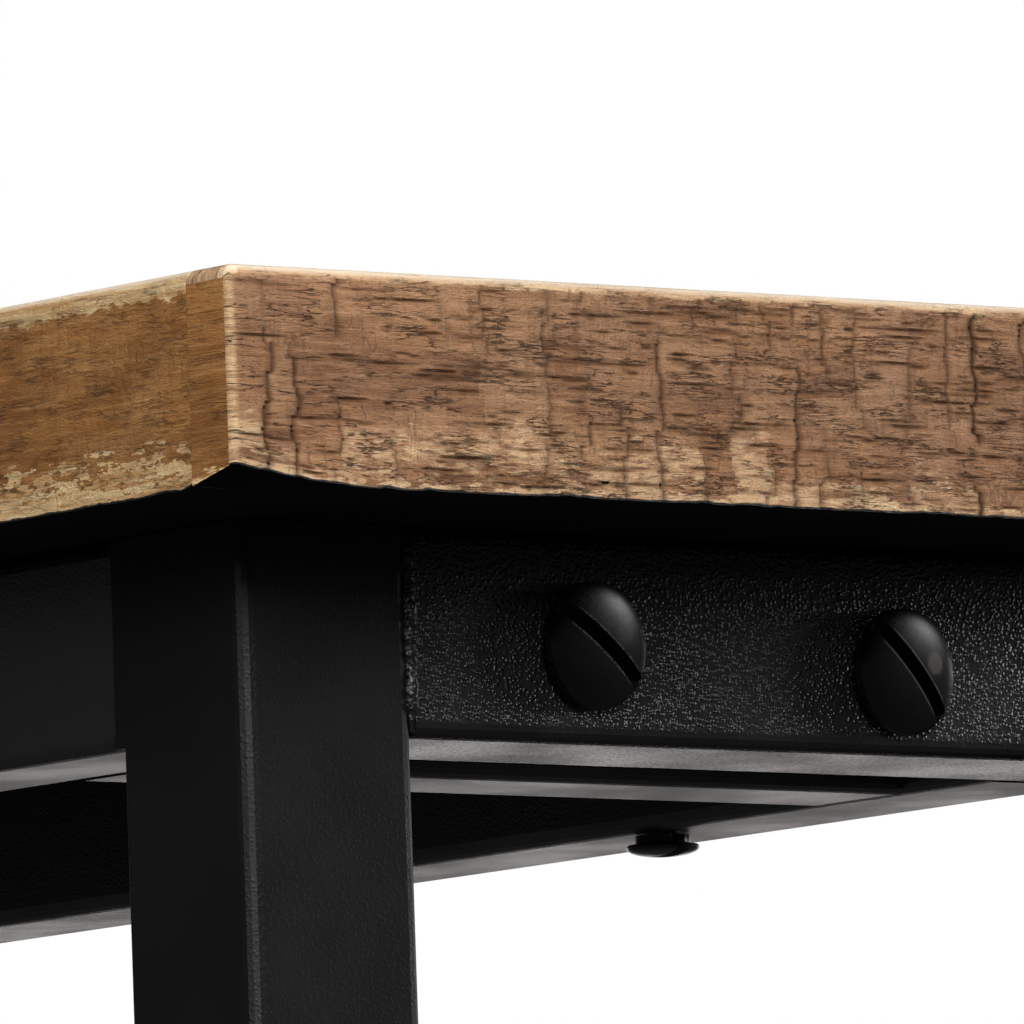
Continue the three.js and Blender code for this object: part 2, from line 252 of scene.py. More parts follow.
# ---------------------------------------------------------------- material helpers
class Shader:
    """Short names for the node calls of one material."""

    def __init__(self, name):
        self.material = bpy.data.materials.new(name)
        self.material.use_nodes = True
        self.tree = self.material.node_tree
        self.tree.nodes.clear()
        self.out = self.tree.nodes.new("ShaderNodeOutputMaterial")
        self.body = self.tree.nodes.new("ShaderNodeBsdfPrincipled")
        self.link(self.body.outputs[0], self.out.inputs["Surface"])

    def link(self, source, target):
        self.tree.links.new(source, target)

    def put(self, target, value):
        """Links a socket, or sets a plain value."""
        if isinstance(value, bpy.types.NodeSocket):
            self.link(value, target)
        else:
            target.default_value = value

    def attribute(self, name):
        node = self.tree.nodes.new("ShaderNodeAttribute")
        node.attribute_name = name
        return node.outputs["Vector"]

    def object_place(self, scale=1.0):
        node = self.tree.nodes.new("ShaderNodeTexCoord")
        return self.scaled(node.outputs["Object"], (scale, scale, scale))

    def scaled(self, vector, scale, offset=(0, 0, 0)):
        node = self.tree.nodes.new("ShaderNodeMapping")
        node.inputs["Scale"].default_value = scale
        node.inputs["Location"].default_value = offset
        self.link(vector, node.inputs["Vector"])
        return node.outputs[0]

    def parts(self, vector):
        node = self.tree.nodes.new("ShaderNodeSeparateXYZ")
        self.link(vector, node.inputs[0])
        return node.outputs

    def joined(self, x, y, z):
        node = self.tree.nodes.new("ShaderNodeCombineXYZ")
        for socket, value in zip(node.inputs, (x, y, z)):
            self.put(socket, value)
        return node.outputs[0]

    def noise(self, vector, scale, detail=3.0, rough=0.5):
        node = self.tree.nodes.new("ShaderNodeTexNoise")
        self.link(vector, node.inputs["Vector"])
        node.inputs["Scale"].default_value = scale
        node.inputs["Detail"].default_value = detail
        node.inputs["Roughness"].default_value = rough
        return node.outputs["Fac"]

    def cells(self, vector, scale):
        """Distance to the nearest of scattered points, for grains."""
        node = self.tree.nodes.new("ShaderNodeTexVoronoi")
        node.feature = "SMOOTH_F1"
        node.inputs["Scale"].default_value = scale
        node.inputs["Smoothness"].default_value = 0.3
        self.link(vector, node.inputs["Vector"])
        return node.outputs["Distance"]

    def thin_line(self, vector, width):
        """Thin wandering lines: the places where a noise passes through its middle value."""
        swing = self.math("ABSOLUTE", self.math("SUBTRACT", self.noise(vector, 1.0, 4.0, 0.55), 0.5))
        return self.span(swing, 0.2 * width, width, 1.0, 0.0)

    def math(self, kind, a, b=0.0, clamp=False):
        node = self.tree.nodes.new("ShaderNodeMath")
        node.operation = kind
        node.use_clamp = clamp
        self.put(node.inputs[0], a)
        self.put(node.inputs[1], b)
        return node.outputs[0]

    def span(self, value, low, high, to_low=0.0, to_high=1.0):
        """A smooth step from to_low at low to to_high at high."""
        node = self.tree.nodes.new("ShaderNodeMapRange")
        node.interpolation_type = "SMOOTHSTEP"
        self.put(node.inputs["Value"], value)
        node.inputs["From Min"].default_value = low
        node.inputs["From Max"].default_value = high
        node.inputs["To Min"].default_value = to_low
        node.inputs["To Max"].default_value = to_high
        return node.outputs[0]

    def mix(self, share, first, second):
        """A colour between first and second, which are sockets or plain colours."""
        node = self.tree.nodes.new("ShaderNodeMix")
        node.data_type = "RGBA"
        self.put(node.inputs[0], share)
        for socket, value in ((node.inputs[6], first), (node.inputs[7], second)):
            if isinstance(value, tuple):
                value = (*value, 1.0)
            self.put(socket, value)
        return node.outputs[2]

    def bump(self, height, strength, distance):
        node = self.tree.nodes.new("ShaderNodeBump")
        node.inputs["Strength"].default_value = strength
        node.inputs["Distance"].default_value = distance * MM
        self.link(height, node.inputs["Height"])
        return node.outputs[0]

    def finish(self, colour, roughness, normal=None, metallic=0.0):
        """Sets the shader's sockets; plain values go straight on the sockets."""
        self.link(colour, self.body.inputs["Base Color"])
        self.put(self.body.inputs["Roughness"], roughness)
        if normal is not None:
            self.link(normal, self.body.inputs["Normal"])
        self.put(self.body.inputs["Metallic"], metallic)
        return self.material


# ---------------------------------------------------------------- materials
def floor_material():
    s = Shader("studio_floor")
    place = s.object_place()
    tone = s.noise(place, 3.0)
    colour = s.mix(tone, (0.56, 0.56, 0.56), (0.62, 0.62, 0.62))
    return s.finish(colour, 0.7)


def board_places(s):
    """Where a point lies on a rough board, from what add_board stores on the mesh."""
    grain = s.attribute("grain")
    shade_and_tone = s.parts(s.attribute("shade_and_tone"))
    rim = s.parts(s.attribute("rim"))
    to_arris = s.math("MAXIMUM", rim[1], s.math("SUBTRACT", rim[2], 1.0))
    corner = s.span(s.parts(grain)[0], 0.5, 2.0, 0.55, 0.0)
    busy = s.span(s.parts(grain)[0], 15.0, 85.0, 0.25, 1.0)
    return grain, shade_and_tone[0], shade_and_tone[1], rim[0], to_arris, corner, busy


def cap_places(s):
    """The same for a board's sawn end, from the object's own coordinates."""
    place = s.parts(s.object_place(1000.0))
    grain = s.joined(s.math("MULTIPLY", place[0], 0.6), place[2], 5.0)
    above = s.math("SUBTRACT", place[2], WOOD_BOTTOM)
    to_arris = s.math("SUBTRACT", WOOD_TOP, place[2])
    return grain, 0.0, 0.35, above, to_arris, 0.0, 0.3


def coat_colour(s, grain, patch, streak, fibre, upright, tones):
    """Mottled brown with paler streaks along the grain and faint upright saw marks."""
    dark, middle, light, _ = tones
    blotch = s.noise(s.scaled(grain, (0.035, 0.07, 1)), 1.0, 4, 0.6)
    colour = s.mix(s.span(blotch, 0.36, 0.64), dark, middle)
    colour = s.mix(s.span(patch, 0.25, 0.8, 0.0, 0.40), colour, light)
    colour = s.mix(s.span(streak, 0.42, 0.70, 0.0, 0.55), colour, light)
    colour = s.mix(s.span(upright, 0.50, 0.66, 0.0, 0.34), colour, dark)
    return s.mix(s.span(fibre, 0.50, 0.68, 0.0, 0.55), colour, dark)


def raw_wood(s, above, to_arris, patch, ragged, fibre, band, strip, low_reach):
    """How bare the wood is where the coat is rubbed away: low blocks, the lower strip and the upper arris,
    partly painted highlight.
    """
    gain = s.math("ADD", s.span(above, 0.0, low_reach, 0.26, 0.0), s.math("MULTIPLY", patch, 0.30))
    rubbed = s.math("ADD", gain, s.math("MULTIPLY", ragged, 0.62))
    rubbed = s.math("ADD", rubbed, s.math("MULTIPLY", fibre, 0.25))
    blocks = s.span(rubbed, 0.80, 0.90)
    # The raw band down from the upper arris is worn bare wood, widened and paled as a painted highlight of
    # the rounded edge
    edge = s.math("SUBTRACT", to_arris, s.math("MULTIPLY", ragged, band))
    arris = s.span(edge, -0.6, 0.5, 1.0, 0.0)
    low_edge = s.math("SUBTRACT", above, s.math("MULTIPLY", s.span(ragged, 0.34, 0.62, 0.2, 2.0), strip))
    low_strip = s.span(low_edge, -0.5, 0.4, 1.0, 0.0)
    raw = s.math("MAXIMUM", s.math("MULTIPLY", blocks, 0.72), s.math("MULTIPLY", arris, 0.88))
    return s.math("MAXIMUM", raw, s.math("MULTIPLY", low_strip, 0.9))


def fine_splits(s, grain, busy):
    """Thin wandering lines along the grain, short ones up the saw marks, and pits, as a mask for their
    painted shade and their dip in the bump.
    """
    long_split = s.thin_line(s.scaled(grain, (0.055, 0.46, 1), (2, 6, 0)), 0.017)
    fine_split = s.thin_line(s.scaled(grain, (0.110, 0.85, 1), (7, 1, 0)), 0.024)
    saw_mark = s.thin_line(s.scaled(grain, (0.08, 0.020, 1), (3, 8, 0)), 0.014)
    gather = s.noise(s.scaled(grain, (0.085, 0.20, 1), (9, 2, 0)), 1.0, 3, 0.6)
    long_split = s.math("MULTIPLY", long_split, s.span(gather, 0.44, 0.58))
    fine_split = s.math("MULTIPLY", fine_split, s.math("MULTIPLY", s.span(gather, 0.45, 0.62), busy))
    saw_mark = s.math("MULTIPLY", saw_mark, s.span(gather, 0.38, 0.50, 0.4, 0.0))
    split = s.math("MAXIMUM", s.math("MAXIMUM", long_split, fine_split), saw_mark)
    pit = s.span(s.noise(s.scaled(grain, (0.9, 1.5, 1), (7, 2, 0)), 1.0, 2, 0.5), 0.66, 0.74, 0.0, 0.5)
    return s.math("MAXIMUM", split, pit)


def rough_sawn(name, tones, band, strip, low_reach, splits, is_cap=False):
    """Rough-sawn board: brown coat over raw wood, painted shade in splits along the grain and saw steps
    across it.

    band and strip are how far raw wood reaches down from the upper arris and up from the lower one,
    low_reach how far up the rubbed blocks climb, and splits how strongly the fine splits show.
    The band along the upper arris is bare wood and partly a painted highlight of the rounded edge,
    and the splits' darkness is painted shade.
    A cap is a board's sawn end, which takes its coordinates from the object. Otherwise the mesh gives
    "grain" = (millimetres along the grain, millimetres around the section, board number),
    "shade_and_tone" = (painted shade of the split or step, patch tone, 0) and
    "rim" = (height above the lower edge, depth below the upper edge, distance in from the outer face),
    the last three in millimetres.
    """
    s = Shader(name)
    light, cream = tones[2], tones[3]
    places = cap_places(s) if is_cap else board_places(s)
    grain, split_and_step_shade, patch, above, to_arris, corner, busy = places
    streak = s.noise(s.scaled(grain, (0.05, 0.75, 1), (0, 3, 0)), 1.0, 5, 0.62)
    fibre = s.noise(s.scaled(grain, (0.28, 2.6, 1), (5, 0, 0)), 1.0, 4, 0.65)
    fine = s.noise(s.scaled(grain, (1.1, 4.2, 1), (0, 9, 0)), 1.0, 3, 0.6)
    upright = s.noise(s.scaled(grain, (0.55, 0.05, 1), (4, 4, 0)), 1.0, 4, 0.6)
    ragged = s.noise(s.scaled(grain, (0.20, 0.55, 1), (1, 4, 0)), 1.0, 4, 0.65)
    colour = coat_colour(s, grain, patch, streak, fibre, upright, tones)

    raw = raw_wood(s, above, to_arris, patch, ragged, fibre, band, strip, low_reach)
    colour = s.mix(raw, colour, s.mix(s.span(streak, 0.3, 0.7), cream, light))
    # Painted highlight: a pale rim along the rounded upper arris, where the edge catches the light
    colour = s.mix(s.span(to_arris, 0.1, 1.6, 0.85, 0.0), colour, (0.88, 0.76, 0.60))
    colour = s.mix(s.math("MULTIPLY", corner, s.span(ragged, 0.3, 0.6)), colour, cream)

    # Painted shade: the splits, pits and saw steps are darkened to a near-black brown
    hollow_and_shade = s.math("MAXIMUM", fine_splits(s, grain, busy), split_and_step_shade)
    hollow_and_shade = s.math("MULTIPLY", hollow_and_shade, s.span(to_arris, 0.6, 2.4, 0.12 * splits, splits))
    colour = s.mix(s.math("MULTIPLY", hollow_and_shade, 0.85, clamp=True), colour, (0.034, 0.012, 0.004))

    # The black paint of the underside creeps a little over the lower arris
    paint = s.span(s.math("SUBTRACT", above, s.math("MULTIPLY", ragged, 0.9)), -0.15, 0.10, 1.0, 0.0)
    colour = s.mix(paint, colour, (0.004, 0.004, 0.004))

    height = s.math("ADD", s.math("MULTIPLY", fibre, -0.55), s.math("MULTIPLY", fine, 0.40))
    height = s.math("SUBTRACT", height, s.math("MULTIPLY", hollow_and_shade, 0.9))
    height = s.math("ADD", height, s.math("MULTIPLY", upright, -0.3))
    glint = s.noise(s.scaled(grain, (2.4, 3.2, 1), (6, 5, 0)), 1.0, 2, 0.6)
    glint = s.math("MULTIPLY", s.span(glint, 0.54, 0.64), busy)
    height = s.math("ADD", height, s.math("MULTIPLY", glint, 0.30))
    normal = s.bump(height, 1.0, 0.65)
    rough = s.math("SUBTRACT", s.span(fine, 0.35, 0.65, 0.34, 0.62), s.math("MULTIPLY", glint, 0.26))
    rough = s.math("MAXIMUM", rough, s.span(hollow_and_shade, 0.1, 0.6))
    s.body.inputs["Specular IOR Level"].default_value = 0.45
    return s.finish(colour, rough, normal)


def underside_paint():
    """Flat black paint brushed on the boards' underside."""
    s = Shader("underside_paint")
    grain = s.attribute("grain")
    brush = s.noise(s.scaled(grain, (0.05, 0.8, 1)), 1.0, 4, 0.6)
    colour = s.mix(brush, (0.0025, 0.0025, 0.0028), (0.005, 0.005, 0.0056))
    normal = s.bump(brush, 0.3, 0.2)
    s.body.inputs["Specular IOR Level"].default_value = 0.2
    return s.finish(colour, s.span(brush, 0.3, 0.7, 0.85, 1.0), normal)


def powder_coat(name, pebble, roughness, shine):
    """Black powder coat with grains on its faces and a smooth lower edge; pebble is the grains' strength."""
    s = Shader(name)
    place = s.object_place(1000.0)
    grains = s.cells(place, 1.2)
    peel = s.noise(place, 0.8, 2.0, 0.5)
    tone = s.noise(place, 0.03, 3.0)
    colour = s.mix(tone, (0.0030, 0.0030, 0.0032), (0.0050, 0.0050, 0.0053))
    dots = s.math("MULTIPLY", s.span(grains, 0.10, 0.62, 1.0, 0.0), s.span(peel, 0.36, 0.56, 0.35, 1.0))
    above_edge = s.span(s.parts(place)[2], RAIL_BOTTOM + 2.2, RAIL_BOTTOM + 4.5)
    below_rails = s.span(s.parts(place)[2], RAIL_BOTTOM + 0.2, RAIL_BOTTOM + 0.8, 1.0, 0.0)
    height = s.math("MULTIPLY", dots, s.math("MAXIMUM", above_edge, below_rails))
    height = s.math("ADD", height, s.math("MULTIPLY", peel, 0.3))
    normal = s.bump(height, pebble, 0.27)
    rough = s.span(tone, 0.3, 0.7, roughness - 0.05, roughness + 0.06)
    s.body.inputs["Specular IOR Level"].default_value = shine
    return s.finish(colour, rough, normal)


def zinc():
    s = Shader("zinc_plate")
    place = s.object_place(1000.0)
    tone = s.noise(place, 0.4, 3.0)
    colour = s.mix(tone, (0.42, 0.43, 0.45), (0.60, 0.61, 0.63))
    rough = s.span(tone, 0.3, 0.7, 0.28, 0.45)
    normal = s.bump(s.noise(place, 3.0, 2.0), 0.15, 0.05)
    return s.finish(colour, rough, normal, metallic=1.0)


def black_plastic():
    s = Shader("black_plastic")
    place = s.object_place(1000.0)
    tone = s.noise(place, 0.15, 3.0)
    colour = s.mix(tone, (0.010, 0.010, 0.010), (0.020, 0.020, 0.020))
    normal = s.bump(s.noise(place, 4.0, 2.0), 0.25, 0.06)
    return s.finish(colour, s.span(tone, 0.3, 0.7, 0.5, 0.65), normal)


def black_lacquer(name, scuff_and_glint):
    """Satin black lacquer; the second argument sets the slot edges' wear to bare steel and a painted
    highlight on the dome.
    """
    s = Shader(name)
    place = s.object_place(1000.0)
    wall = SLOT_WIDE / 2
    across = s.math("ABSOLUTE", s.parts(place)[1])
    tone = s.noise(place, 0.5, 3.0)
    fine = s.noise(place, 1.9, 4.0, 0.65)
    colour = s.mix(tone, (0.0035, 0.0035, 0.004), (0.006, 0.006, 0.0065))
    near_edge = s.span(across, wall + 0.12, wall + 0.6, 1.0, 0.0)
    near_edge = s.math("MULTIPLY", s.span(across, wall + 0.01, wall + 0.04), near_edge)
    edge = s.math("MULTIPLY", near_edge, s.span(fine, 0.44 - 0.1 * scuff_and_glint, 0.56 - 0.1 * scuff_and_glint))
    # Painted highlight: a pale patch at a fixed spot on the dome's upper side, where a lamp's glint falls
    offset = s.scaled(place, (0.24, 0.24, 0.0), (-0.55, -1.15, 0.0))
    spot = s.tree.nodes.new("ShaderNodeVectorMath")
    spot.operation = "LENGTH"
    s.link(offset, spot.inputs[0])
    patch = s.span(spot.outputs["Value"], 0.1, 1.0, 1.0, 0.0)
    patch = s.math("SUBTRACT", patch, s.math("MULTIPLY", fine, 0.9))
    patch = s.span(patch, -0.15, 0.35, 0.0, 0.1 + 0.8 * scuff_and_glint)
    on_dome = s.span(s.parts(place)[2], HEAD_HIGH - 1.6, HEAD_HIGH - 0.6)
    # bare holds both the worn slot edges and the painted highlight patch
    bare = s.math("MULTIPLY", s.math("MAXIMUM", edge, patch), on_dome)
    colour = s.mix(bare, colour, (0.36, 0.31, 0.28))
    # Painted shade: the inside of the slot is darkened to near black
    slot = s.span(across, wall + 0.01, wall + 0.04, 1.0, 0.0)
    colour = s.mix(slot, colour, (0.001, 0.001, 0.001))
    rough = s.math("MAXIMUM", s.span(fine, 0.3, 0.7, 0.28, 0.40), s.math("MULTIPLY", slot, 0.95))
    normal = s.bump(fine, 0.12, 0.08)
    return s.finish(colour, rough, normal)


# ---------------------------------------------------------------- numbers for the wood
def lattice(column, row, seed):
    """A fixed pseudo-random number from 0 to 1 for each whole (column, row)."""
    mixed = column.astype(np.int64) * 374761393 + row.astype(np.int64) * 668265263 + seed * 974634777
    mixed = mixed & 0xFFFFFFFF
    mixed = ((mixed ^ (mixed >> 13)) * 1274126177) & 0xFFFFFFFF
    return ((mixed ^ (mixed >> 16)) & 0xFFFF) / 65535.0


def noise2(x, y, seed, layers=1):
    """Smooth noise from 0 to 1 at x, y (one cell per unit), with finer layers of half the strength."""
    total = 0.0
    strength = 1.0
    whole = 0.0
    for layer in range(layers):
        column, row = np.floor(x), np.floor(y)
        u, v = x - column, y - row
        u, v = u * u * (3 - 2 * u), v * v * (3 - 2 * v)
        corner = [[lattice(column + i, row + j, seed + 17 * layer) for j in (0, 1)] for i in (0, 1)]
        low = corner[0][0] * (1 - u) + corner[1][0] * u
        high = corner[0][1] * (1 - u) + corner[1][1] * u
        total = total + strength * (low * (1 - v) + high * v)
        whole += strength
        strength *= 0.5
        x, y = x * 2, y * 2
    return total / whole


def ramp(value, low, high):
    """Smooth step from 0 at low to 1 at high."""
    share = np.clip((value - low) / (high - low), 0.0, 1.0)
    return share * share * (3 - 2 * share)


# ---------------------------------------------------------------- rough-sawn boards
def saw_steps(along, above, reach, spacing, seed, strength):
    """Ragged upright steps left by the saw: (strength of the dark line painted as each step's shade, relief
    in mm, patch number).
    """
    rng = np.random.default_rng(seed)
    dark = np.zeros_like(along)
    relief = np.zeros_like(along)
    patch = np.zeros_like(along)
    place = rng.uniform(2.0, spacing)
    while place < reach:
        jog = 2.4 * (lattice(np.floor(above / 5.5 + place), np.full(above.shape, place), seed + 4) - 0.5)
        bend = jog + 1.6 * (noise2(above / 3.0, above * 0 + place, seed + 3, 3) - 0.5)
        away = along - (place + bend)
        present = ramp(noise2(above / 11.0, above * 0 + place, seed + 5, 2), 0.38, 0.58)
        wide = 0.5 + 1.5 * noise2(above / 4.0, above * 0 + place, seed + 7, 2)
        # The dark line is painted shade along the foot of each step: sharp on one side, soft on the other
        line = np.where(away > 0, np.exp(-((away / wide) ** 2)), np.exp(-np.abs(away) / 0.7)) * present
        dark = np.maximum(dark, line * rng.uniform(0.35, 0.95))
        slope = np.where(away > 0, -np.exp(-np.abs(away) / 1.4), 0.8 * np.exp(-np.abs(away) / 4.0)) * present
        relief = relief + slope * rng.uniform(0.1, 0.3)
        patch = patch + (away > 0)
        place += rng.uniform(0.45, 1.6) * spacing
    return dark * strength, relief * strength, patch


def add_checks(dark, relief, along, above, reach, count, seed, longest):
    """Splits along the grain, each thin, slightly bent and tapering to its ends, painted dark as the shade
    inside them.
    """
    rng = np.random.default_rng(seed)
    for _ in range(count):
        middle = rng.uniform(0, reach)
        level = rng.uniform(1.0, WOOD_TOP - WOOD_BOTTOM - 3.0)
        if rng.uniform(0, 1) > 0.25 + min(middle, reach - middle) / 70.0:
            continue
        half = 0.5 * rng.uniform(3.0, longest) * rng.uniform(0.4, 1.0)
        thick = rng.uniform(0.20, 0.40)
        near = np.flatnonzero((np.abs(along - middle) < half) & (np.abs(above - level) < 3.0))
        if near.size == 0:
            continue
        s, h = along[near], above[near]
        path = level + 0.9 * (noise2(s / 5.0, s * 0 + level, seed + 2, 2) - 0.5)
        taper = np.clip(1 - ((s - middle) / half) ** 2, 0, 1) ** 0.7
        cut = taper * np.exp(-((h - path) / thick) ** 2) * rng.uniform(0.5, 1.0)
        dark[near] = np.maximum(dark[near], cut)
        relief[near] -= 0.35 * cut


def knocked_corner(from_end, from_side):
    """How far the lower corner is knocked up, in mm, by distance from the end face and the long face."""
    along_end = np.clip(1 - from_side / CORNER_REACH_END, 0, 1) ** 2.2
    along_side = np.clip(1 - from_end / CORNER_REACH_SIDE, 0, 1)
    return CORNER_RISE * along_end * along_side


def section_line(lengths, steps):
    """Points along straight runs: lengths are (start, end) pairs and steps the spacing of each run."""
    points = []
    for (start, end), step in zip(lengths, steps):
        count = max(1, round((Vector(end) - Vector(start)).length / step))
        for i in range(count):
            points.append(Vector(start).lerp(Vector(end), i / count))
    return points


def board_section(wide, high, outer_step, flat_step, rounded):
    """Closed section (in from the outer face, up from the underside), starting at the outer lower edge."""
    r = EDGE_ROUND if rounded else 0.4
    points = section_line([((0, 0), (0, high - r))], [outer_step])
    turns = 6 if rounded else 2
    for i in range(turns):
        angle = math.pi / 2 * i / turns
        points.append(Vector((r - r * math.cos(angle), high - r + r * math.sin(angle))))
    runs = [((r, high), (wide, high)), ((wide, high), (wide, 0)), ((wide, 0), (8, 0)), ((8, 0), (0, 0))]
    points += section_line(runs, [flat_step, high / 3, flat_step, min(1.0, flat_step)])
    return np.array(points)


def board_marks(along, above, reach, thick, seed, look):
    """Painted shade, relief in mm and patch number of the marks on a board's outer face."""
    if look["outer"]:
        dark, relief, patch = saw_steps(along, above, reach, look["spacing"], seed, look["strength"])
        add_checks(dark, relief, along, above, reach, look["checks"], seed + 40, look["longest"])
    else:
        dark, relief, patch = (np.zeros_like(along) for _ in range(3))
    relief = relief + 0.22 * (noise2(along / 4.0, above / 1.2, seed + 8, 3) - 0.5)
    calm = ramp(above, 0.0, 2.0) * ramp(thick - above, 1.0, 4.0)
    return dark, relief * (0.25 + 0.75 * calm), patch


def lower_wear(place, along, above, inward, seed, outer):
    """How far each point rises where the lower edge is chipped and the lower corners are knocked up."""
    chips = np.clip(noise2(along / 5.0, along * 0 + 2, seed + 11, 3) - 0.5, 0, 1)
    lower = chips * np.exp(-inward / 1.5) if outer else 0.0 * along
    is_front_right = (place[:, 0] > 0) & (place[:, 1] < 0)
    size = np.where(is_front_right, 1.0, 0.35)
    knocked = knocked_corner(HALF_LENGTH - np.abs(place[:, 0]), HALF_DEPTH - np.abs(place[:, 1]))
    return (lower + size * knocked) * np.clip(1 - above / 12.0, 0, 1)


def upper_wear(place, along, above, inward, reach, thick, seed, ends):
    """How far each point sinks where the upper arris is rounded at the ends and worn all round."""
    to_edge = np.minimum(HALF_LENGTH - np.abs(place[:, 0]), HALF_DEPTH - np.abs(place[:, 1]))
    past = np.clip(EDGE_ROUND - to_edge, 0, EDGE_ROUND)
    drop = EDGE_ROUND - np.sqrt(EDGE_ROUND ** 2 - past ** 2)
    is_end = (np.minimum(along, reach - along) < EDGE_ROUND) & (inward >= 0.01) & ends
    worn = 0.5 * noise2(along / 14.0, along * 0, seed + 13, 3) * np.clip(1 - to_edge / 3.0, 0, 1)
    top_share = np.clip((above - (thick - EDGE_ROUND)) / EDGE_ROUND, 0, 1)
    return top_share * (np.where(is_end, drop, 0.0) + worn)


def board_mesh(name, place, count, rows, flip):
    """A mesh of closed sections joined in a row; its last two faces are the sawn ends."""
    index = np.arange(rows * count).reshape(count, rows)
    here, there = index[:-1], index[1:]
    quads = np.stack([here, np.roll(here, -1, 1), np.roll(there, -1, 1), there], -1).reshape(-1, 4)
    faces = quads.tolist() + [index[0][::-1].tolist(), index[-1].tolist()]
    if flip:
        faces = [face[::-1] for face in faces]
    mesh = bpy.data.meshes.new(name)
    mesh.from_pydata((place * MM).tolist(), [], faces)
    shape = bmesh.new()
    shape.from_mesh(mesh)
    bmesh.ops.recalc_face_normals(shape, faces=shape.faces)
    shape.to_mesh(mesh)
    shape.free()
    return mesh


def paint_board(mesh, materials):
    """The coat everywhere, paint on the faces that look down near the underside, and a cap on both ends."""
    for material in materials:
        mesh.materials.append(material)
    centres = np.zeros(len(mesh.polygons) * 3)
    normals = np.zeros(len(mesh.polygons) * 3)
    mesh.polygons.foreach_get("center", centres)
    mesh.polygons.foreach_get("normal", normals)
    is_under = (normals[2::3] < -0.6) & (centres[2::3] < (WOOD_BOTTOM + CORNER_RISE + 1) * MM)
    kind = is_under.astype(np.int32)
    kind[-2:] = 2
    mesh.polygons.foreach_set("material_index", kind)


def add_board(node, axis, outward, section, materials, seed, look):
    """A rough board in place of a CAD board, with its coat, underside paint and cap as materials.

    axis is the way the grain runs (0 or 1) and outward the sign of the outer face on the other axis.
    look says whether the board shows an outer face and whether its ends are rounded, and holds the
    step between its sections, the spacing and strength of its saw marks and its checks.
    """
    low, high = (np.array(corner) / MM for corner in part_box(node))
    across = 1 - axis
    reach, thick = high[axis] - low[axis], high[2] - low[2]
    stations = np.linspace(0.0, reach, round(reach / look["step"]) + 1)
    if look["ends"]:
        close = np.array([0.1, 0.25, 0.45])
        stations = np.sort(np.concatenate((stations, close, reach - close)))
    count, rows = len(stations), len(section)
    run = np.concatenate(([0.0], np.cumsum(np.linalg.norm(np.diff(section, axis=0), axis=1))))
    along = np.repeat(stations, rows)
    inward = np.tile(section[:, 0], count)
    above = np.tile(section[:, 1], count)
    around = np.tile(run, count)
    on_face = (inward < 0.01) & look["outer"]
    dark, relief, patch = board_marks(along, above, reach, thick, seed, look)
    if look["ends"]:
        short = np.clip(END_ROUND - np.minimum(along, reach - along), 0, END_ROUND)
        inward = np.maximum(inward, END_ROUND - np.sqrt(END_ROUND ** 2 - short ** 2))

    place = np.zeros((len(along), 3))
    place[:, axis] = low[axis] + along
    face = high[across] if outward > 0 else low[across]
    push = np.minimum(np.where(on_face, relief, 0.0), 0.35)
    place[:, across] = face - outward * inward + outward * push
    place[:, 2] = low[2] + above
    place[:, 2] += lower_wear(place, along, above, inward, seed, look["outer"])
    place[:, 2] -= upper_wear(place, along, above, inward, reach, thick, seed, look["ends"])
    mesh = board_mesh(node, place, count, rows, (axis == 0) != (outward > 0))

    cell = noise2(patch * 7.31, above / 9.0, seed + 21)
    height = np.where((above < 0.01) & (inward > 0.01), -2.0, above)
    from_face = inward if look["outer"] else np.full_like(along, thick)
    store(mesh, "grain", np.stack([along, around, np.full_like(along, seed)], -1))
    # The first value is the painted shade of the saw steps and splits; the second a tone for each patch
    store(mesh, "shade_and_tone", np.stack([np.where(on_face, dark, 0.0), cell, np.zeros_like(along)], -1))
    store(mesh, "rim", np.stack([height, thick - above, from_face], -1))
    paint_board(mesh, materials)
    piece = bpy.data.objects.new("rough_" + node, mesh)
    bpy.context.scene.collection.objects.link(piece)
    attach(piece, BODY)
    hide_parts(node)


def store(mesh, name, values):
    """A vector stored on each vertex, for the shader."""
    layer = mesh.attributes.new(name, "FLOAT_VECTOR", "POINT")
    layer.data.foreach_set("vector", values.astype(np.float32).ravel())


def add_end_boards(coat, paint, cap):
    wide = END_HI.x - TOP_HI.x - BOARD_GAP
    section = board_section(wide, WOOD_TOP - WOOD_BOTTOM, outer_step=0.5, flat_step=1.4, rounded=True)
    look = dict(outer=True, ends=True, step=0.56, spacing=10.5, strength=1.25, checks=560, longest=24.0)
    for end, sign, seed in (("left", -1, 31), ("right", 1, 40)):
        add_board("end_board_" + end, 1, sign, section, (coat, paint, cap), seed, look)


def add_planks(coat, paint, cap):
    """The outer planks show a long face, and the inner ones only their top, underside and sawn ends."""
    thick = WOOD_TOP - WOOD_BOTTOM
    low, high = (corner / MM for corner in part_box("plank_front_outer"))
    section = board_section(high.y - low.y, thick, outer_step=0.9, flat_step=3.2, rounded=True)
    look = dict(outer=True, ends=False, step=1.25, spacing=17.0, strength=0.45, checks=90, longest=40.0)
    for side, sign, seed in (("front", -1, 71), ("back", 1, 80)):
        add_board(f"plank_{side}_outer", 0, sign, section, (coat, paint, cap), seed, look)

    low, high = (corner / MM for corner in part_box("plank_middle"))
    section = board_section(high.y - low.y, thick, outer_step=8.0, flat_step=5.0, rounded=False)
    look = dict(outer=False, ends=False, step=6.0)
    for name, seed in (("front_inner", 111), ("middle", 120), ("back_inner", 129)):
        add_board("plank_" + name, 0, -1, section, (coat, paint, cap), seed, look)


